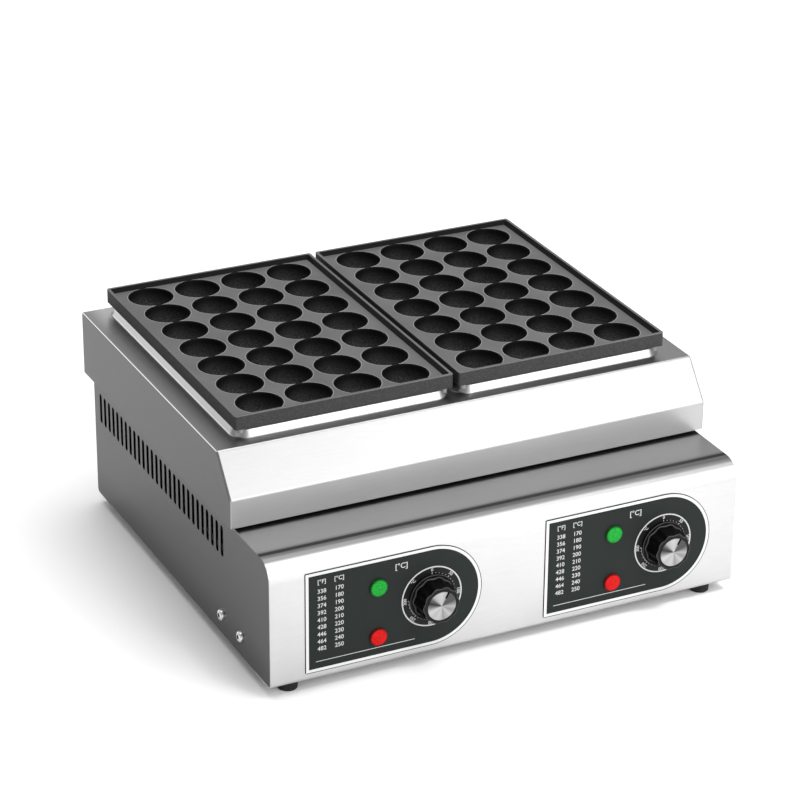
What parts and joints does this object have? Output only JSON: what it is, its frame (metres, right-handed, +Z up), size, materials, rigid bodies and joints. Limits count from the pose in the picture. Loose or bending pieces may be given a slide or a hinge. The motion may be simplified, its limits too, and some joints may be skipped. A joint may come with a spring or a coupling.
{
  "type": "takoyaki maker",
  "caption": "Two-zone electric takoyaki maker for a counter: lift-off cast plates of round cups over a stainless housing with a control knob and lamps for each zone.",
  "frame": {"origin": "on the counter, under the middle of the object's box", "axes": "+X to the operator's right, +Y to the back, +Z up"},
  "size_m": [0.4316, 0.4108, 0.2007],
  "materials": {
    "cover_steel": "brushed stainless sheet",
    "housing_steel": "satin stainless sheet",
    "inner_steel": "galvanised sheet",
    "coated_casting": "cast, with a dark matt non-stick coating",
    "element_steel": "dull heat-darkened tube",
    "ceramic": "white ceramic",
    "panel_film": "dark green-grey printed film",
    "knob_black": "satin black phenolic",
    "spun_aluminium": "spun disc",
    "lens_green": "moulded green lens",
    "lens_red": "moulded red lens",
    "black_plastic": "moulded black",
    "light_plastic": "moulded off-white",
    "rubber_black": "moulded black rubber",
    "screw_steel": "plated steel",
    "brass_screw": "plain brass",
    "body_steel": "plated pressing"
  },
  "bodies": {
    "housing": {"back_left_foot": "rubber_black", "back_panel": "housing_steel", "back_right_foot": "rubber_black", "back_screws": "screw_steel", "bottom_plate": "inner_steel", "bushing_nut": "black_plastic", "component_rail": "inner_steel", "cord_bushing": "black_plastic", "cover_nuts": "screw_steel", "earth_screw": "screw_steel", "foot_bolts": "screw_steel", "foot_nuts": "screw_steel", "front_left_foot": "rubber_black", "front_panel": "housing_steel", "front_right_foot": "rubber_black", "front_screws": "screw_steel", "heat_shield": "inner_steel", "left_control_film": "panel_film", "left_heat_lamp_body": "black_plastic", "left_heat_lamp_lens": "lens_red", "left_heat_tray": "inner_steel", "left_heater": "element_steel", "left_heater_insulators": "ceramic", "left_heater_rack": "inner_steel", "left_power_lamp_body": "black_plastic", "left_power_lamp_lens": "lens_green", "left_sensor": "element_steel", "left_side_panel": "housing_steel", "left_thermostat": "body_steel", "right_control_film": "panel_film", "right_heat_lamp_body": "black_plastic", "right_heat_lamp_lens": "lens_red", "right_heat_tray": "inner_steel", "right_heater": "element_steel", "right_heater_insulators": "ceramic", "right_heater_rack": "inner_steel", "right_power_lamp_body": "black_plastic", "right_power_lamp_lens": "lens_green", "right_sensor": "element_steel", "right_side_panel": "housing_steel", "right_thermostat": "body_steel", "side_screws": "screw_steel", "terminal_block": "light_plastic", "terminal_screws": "brass_screw", "thermostat_screws": "screw_steel", "top_cover": "cover_steel"},
    "left_plate": {"left_cup_plate": "coated_casting"},
    "left_knob_set": {"left_knob": "knob_black", "left_knob_cap": "spun_aluminium", "left_thermostat_shaft": "screw_steel"},
    "right_plate": {"right_cup_plate": "coated_casting"},
    "right_knob_set": {"right_knob": "knob_black", "right_knob_cap": "spun_aluminium", "right_thermostat_shaft": "screw_steel"}
  },
  "joints": [
    {"name": "left_plate_lift", "type": "slide", "parent": "housing", "child": "left_plate", "axis": [0, 0, 1], "range_m": [0, 0.08]},
    {"name": "left_knob_turn", "type": "hinge", "parent": "housing", "child": "left_knob_set", "pos_m": [-0.07055, -0.19605, 0.0616], "axis": [0, 1, 0], "range_deg": [-29, 241]},
    {"name": "right_plate_lift", "type": "slide", "parent": "housing", "child": "right_plate", "axis": [0, 0, 1], "range_m": [0, 0.08]},
    {"name": "right_knob_turn", "type": "hinge", "parent": "housing", "child": "right_knob_set", "pos_m": [0.14175, -0.19605, 0.0616], "axis": [0, 1, 0], "range_deg": [-29, 241]}
  ]
}
